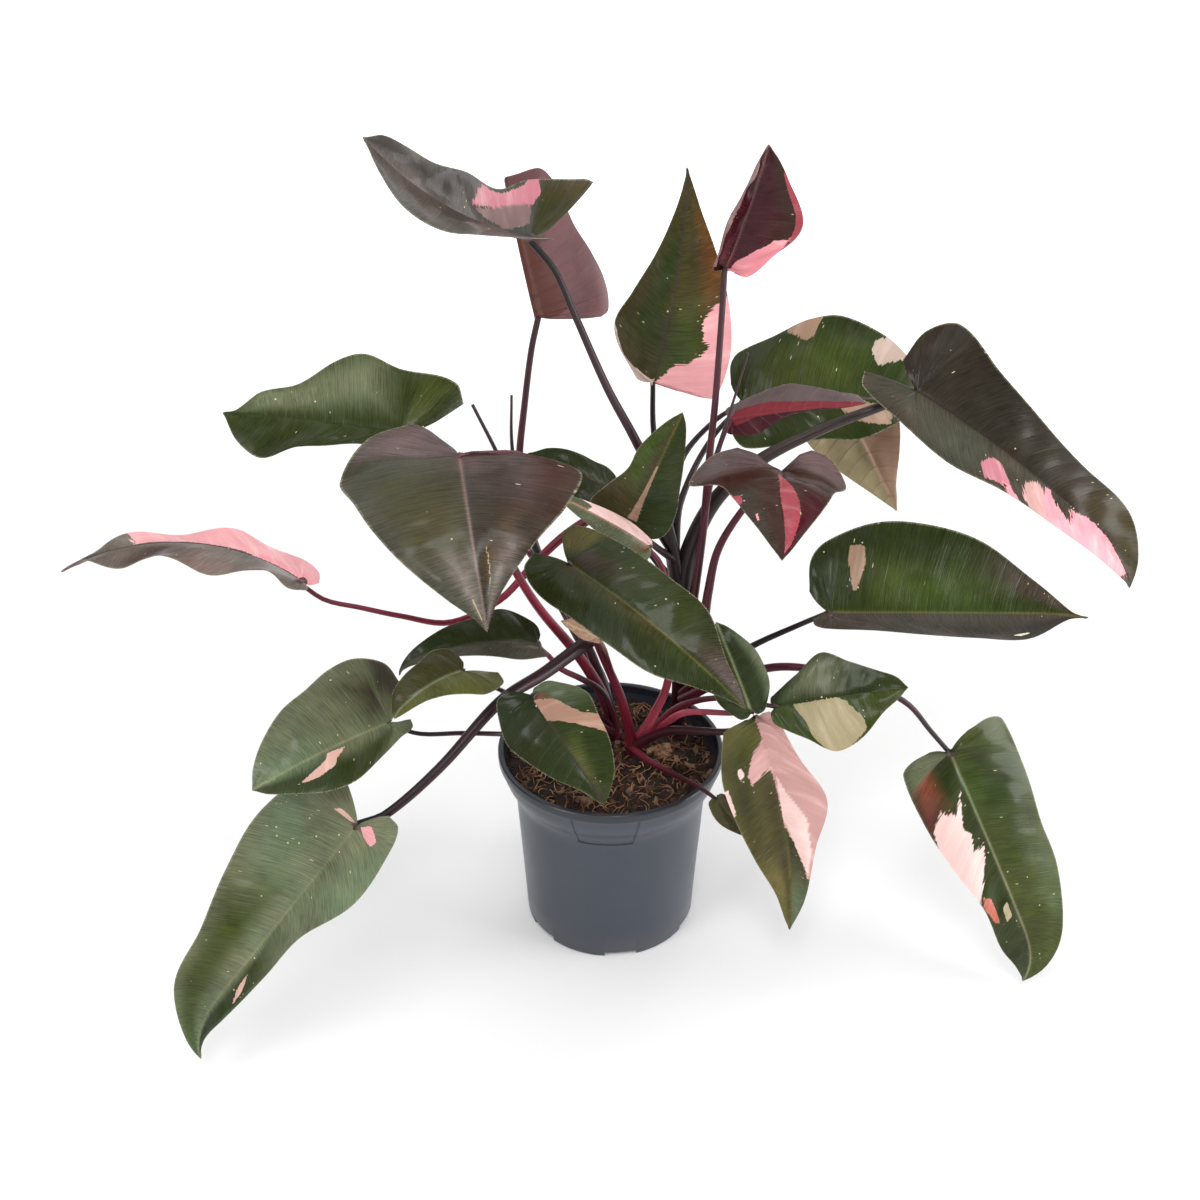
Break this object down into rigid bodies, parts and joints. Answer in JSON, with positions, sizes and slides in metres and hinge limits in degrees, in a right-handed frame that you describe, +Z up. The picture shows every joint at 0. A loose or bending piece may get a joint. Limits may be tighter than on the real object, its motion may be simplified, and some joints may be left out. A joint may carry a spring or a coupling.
{
  "type": "potted pink princess philodendron",
  "caption": "Climbing aroid house plant with pink-splashed heart-shaped leaves on long stalks, standing in soil in a round nursery pot.",
  "frame": {"origin": "middle of the pot's foot, on the surface that the pot stands on", "axes": "+Z up, the plant's front towards -Y, +X to the right seen from the front"},
  "size_m": [0.7272, 0.357, 0.6151],
  "materials": {
    "slate": "satin moulded plastic, blue-grey",
    "peat": "dark crumbly potting soil with coir fibres",
    "stalk_dark": "smooth near-black purple leaf stalks",
    "stalk_red": "smooth crimson leaf stalks",
    "green": "glossy green leaf with pink and cream patches",
    "olive": "olive leaf with a pale stripe",
    "grey_green": "grey-green leaf with a soft sheen",
    "bronze": "dark bronze leaf with a satin sheen",
    "maroon": "young maroon leaf",
    "mauve": "rolled leaf that shows its mauve underside",
    "pink": "leaf with one half pink",
    "tan": "tan and pink-beige leaf underside"
  },
  "bodies": {
    "root": {"pot": "slate", "soil": "peat", "stems_main": "stalk_dark", "stems_front": "stalk_red", "stems_left": "stalk_dark", "leaf_top_left": "grey_green", "leaf_rolled_mauve": "mauve", "leaf_upright_back": "olive", "leaf_cupped_young": "maroon", "leaf_back_right": "green", "leaf_back_right_under": "tan", "leaf_far_right_dark": "bronze", "leaf_centre_maroon": "maroon", "leaf_right_glossy": "green", "leaf_right_small": "green", "leaf_low_right": "green", "leaf_centre_front": "green", "leaf_front_right_pink": "pink", "leaf_tiny_right": "olive", "leaf_behind_centre": "green", "leaf_centre_upright": "olive", "leaf_centre_edge": "pink", "leaf_back_small": "green", "leaf_left_shield": "bronze", "leaf_left_upper": "grey_green", "leaf_far_left_pink": "pink", "leaf_left_tailed": "grey_green", "leaf_left_curled": "olive", "leaf_left_lower": "grey_green", "leaf_low_left": "green", "leaf_front_over_pot": "green", "leaf_centre_tan": "tan", "leaf_narrow_red": "maroon"}
  },
  "joints": []
}
